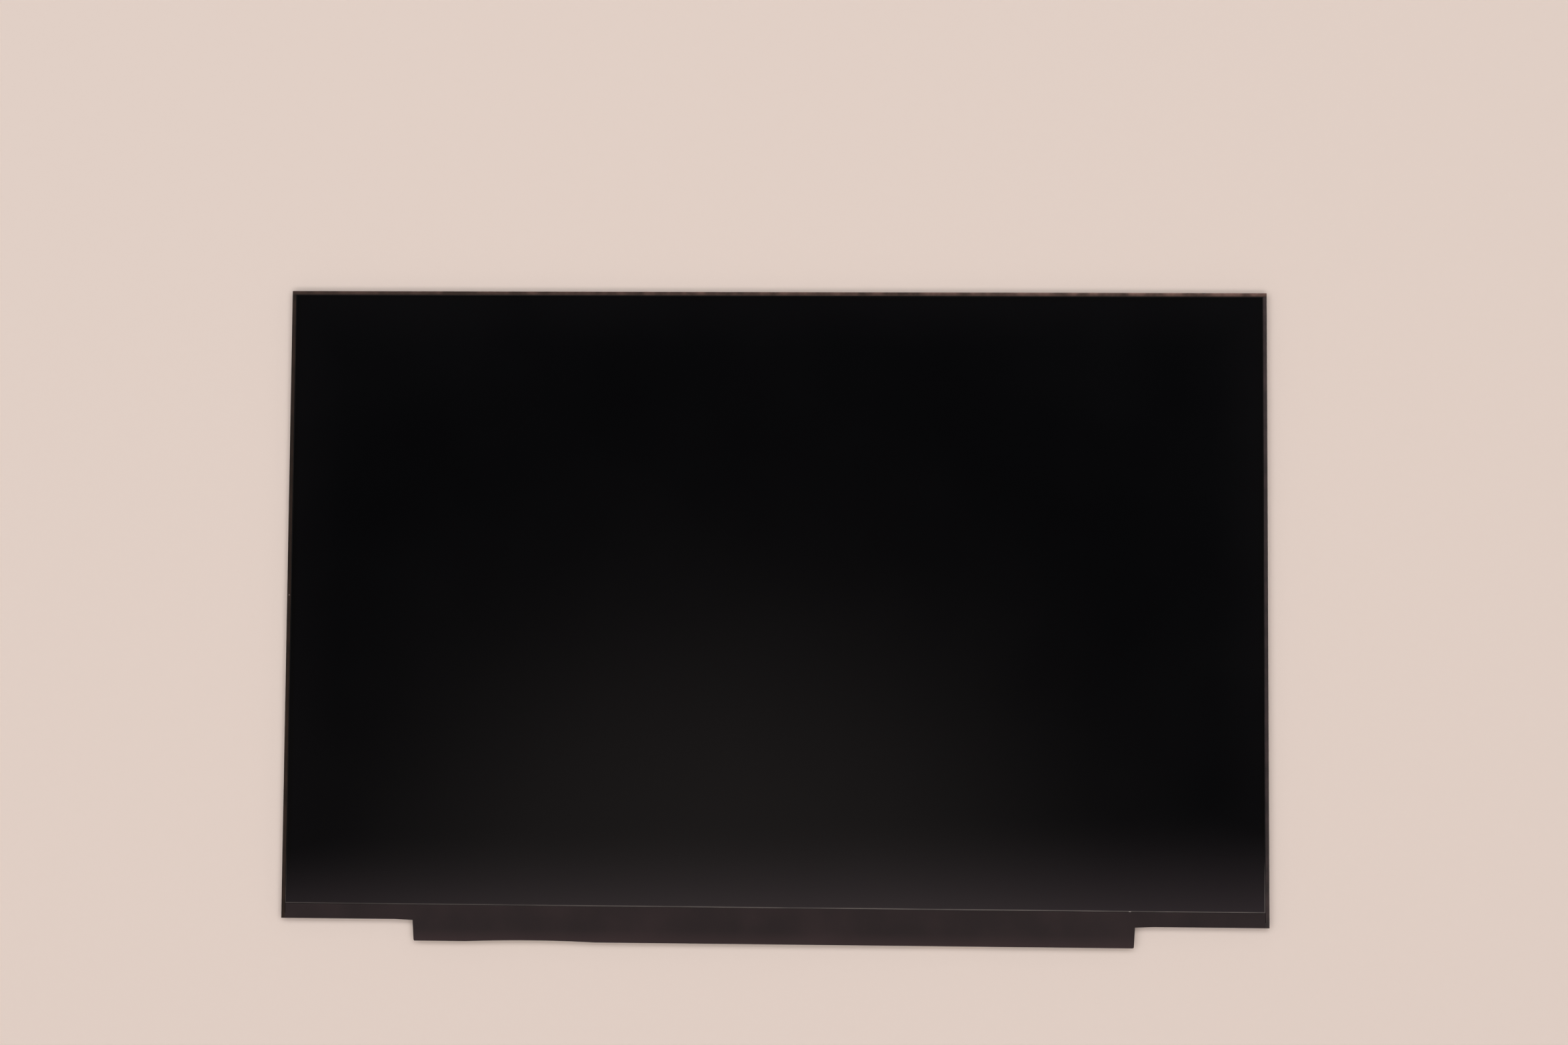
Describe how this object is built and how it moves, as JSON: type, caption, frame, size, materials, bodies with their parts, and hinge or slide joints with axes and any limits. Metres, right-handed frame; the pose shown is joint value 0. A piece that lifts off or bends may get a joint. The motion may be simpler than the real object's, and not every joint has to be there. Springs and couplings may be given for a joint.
{
  "type": "laptop screen panel",
  "caption": "Slim flat laptop display module: black screen with a thin taped rim, and a film-covered control board on a wide tab along its lower edge.",
  "frame": {"origin": "middle of the picture area, on the plane of the rear cover's outer face", "axes": "+X right along the screen, +Y up the screen, +Z out of the screen's face"},
  "size_m": [0.307, 0.2039, 0.0022],
  "materials": {
    "brushed_aluminium": "satin, fine rolled grain",
    "frame_plastic": "moulded, fine texture",
    "reflector_film": "white, matte",
    "guide_acrylic": "clear, polished",
    "diffuser_film": "translucent, frosted",
    "prism_film": "micro-grooved",
    "led_package": "white moulding with yellow phosphor",
    "flex_polyimide": "amber polyimide with copper tracks",
    "window_tape": "black adhesive tape",
    "cell_glass": "polished, dark behind",
    "rear_polariser_film": "smooth",
    "antiglare_polariser": "fine anti-glare haze",
    "driver_silicon": "ground silicon",
    "board_laminate": "green solder mask on glass-epoxy",
    "chip_epoxy": "moulded black epoxy",
    "ferrite": "sintered, dark grey",
    "capacitor_ceramic": "tan ceramic with tinned ends",
    "resistor_glaze": "black glaze with tinned ends",
    "socket_polymer": "natural moulded polymer",
    "contact_gold": "gold plated",
    "shell_steel": "tinned sheet",
    "edge_tape": "brown-black, low sheen",
    "bezel_film": "brown-black, matte",
    "ground_foil": "soft conductive foil"
  },
  "bodies": {
    "root": {"rear_cover": "brushed_aluminium", "mid_frame": "frame_plastic", "reflector_sheet": "reflector_film", "light_guide_plate": "guide_acrylic", "lower_diffuser_sheet": "diffuser_film", "lower_prism_sheet": "prism_film", "upper_prism_sheet": "prism_film", "upper_diffuser_sheet": "diffuser_film", "led_flex": "flex_polyimide", "leds": "led_package", "rim_tape": "window_tape", "rear_polariser": "rear_polariser_film", "tft_glass": "cell_glass", "colour_filter_glass": "cell_glass", "front_polariser": "antiglare_polariser", "control_board": "board_laminate", "connector_housing": "socket_polymer", "connector_contacts": "contact_gold", "connector_shell": "shell_steel", "power_inductors": "ferrite", "rectifier_diodes": "chip_epoxy", "chip_capacitors": "capacitor_ceramic", "chip_resistors": "resistor_glaze", "left_edge_tape": "edge_tape", "right_edge_tape": "edge_tape", "top_edge_tape": "edge_tape", "bezel_film": "bezel_film", "left_ground_foil": "ground_foil", "right_ground_foil": "ground_foil", "driver_flex_1": "flex_polyimide", "driver_chip_1": "driver_silicon", "driver_flex_2": "flex_polyimide", "driver_chip_2": "driver_silicon", "driver_flex_3": "flex_polyimide", "driver_chip_3": "driver_silicon", "driver_flex_4": "flex_polyimide", "driver_chip_4": "driver_silicon", "timing_controller": "chip_epoxy", "power_chip": "chip_epoxy", "led_driver_chip": "chip_epoxy", "level_shifter_chip": "chip_epoxy", "memory_chip": "chip_epoxy"}
  },
  "joints": []
}
